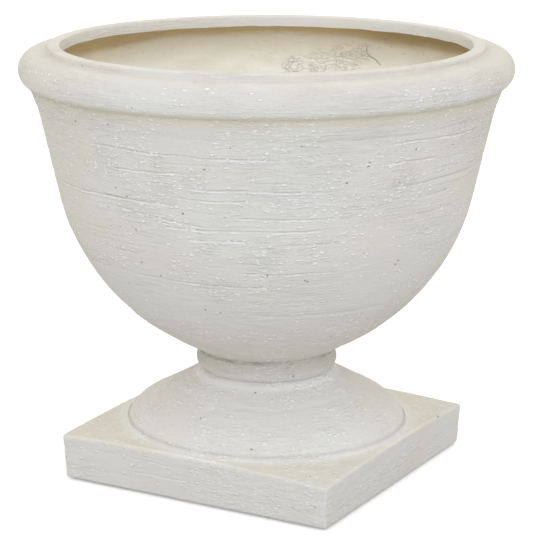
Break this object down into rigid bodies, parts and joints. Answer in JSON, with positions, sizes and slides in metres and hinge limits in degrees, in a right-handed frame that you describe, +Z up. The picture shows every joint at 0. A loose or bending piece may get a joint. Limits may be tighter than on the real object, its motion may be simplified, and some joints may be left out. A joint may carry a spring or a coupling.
{
  "type": "urn planter",
  "caption": "Round urn planter with a deep bowl, rolled rim, neck ring, bell-shaped hollow foot and square plinth, with a removable drain plug.",
  "frame": {"origin": "on the floor under the centre of the planter, at the underside of the foot pads", "axes": "+Z up along the axis of the turned forms, X and Y along the sides of the square plinth"},
  "size_m": [0.5079, 0.508, 0.453],
  "materials": {
    "cast_stone": "off-white painted cement, brushed and pitted",
    "mortar": "rough filler",
    "zinc_steel": "zinc plated",
    "black_rubber": "matt moulded rubber"
  },
  "bodies": {
    "urn": {"bowl": "cast_stone", "pedestal": "cast_stone", "neck_mortar": "mortar", "sealing_washers": "black_rubber", "tie_bolts": "zinc_steel", "upper_washers": "zinc_steel", "lower_washers": "zinc_steel", "tie_nuts": "zinc_steel", "foot_pad_front_left": "black_rubber", "foot_pad_front_right": "black_rubber", "foot_pad_back_left": "black_rubber", "foot_pad_back_right": "black_rubber"},
    "plug": {"drain_plug": "black_rubber"}
  },
  "joints": [
    {"name": "plug_lift", "type": "slide", "parent": "urn", "child": "plug", "axis": [0, 0, 1], "range_m": [0, 0.06]}
  ]
}
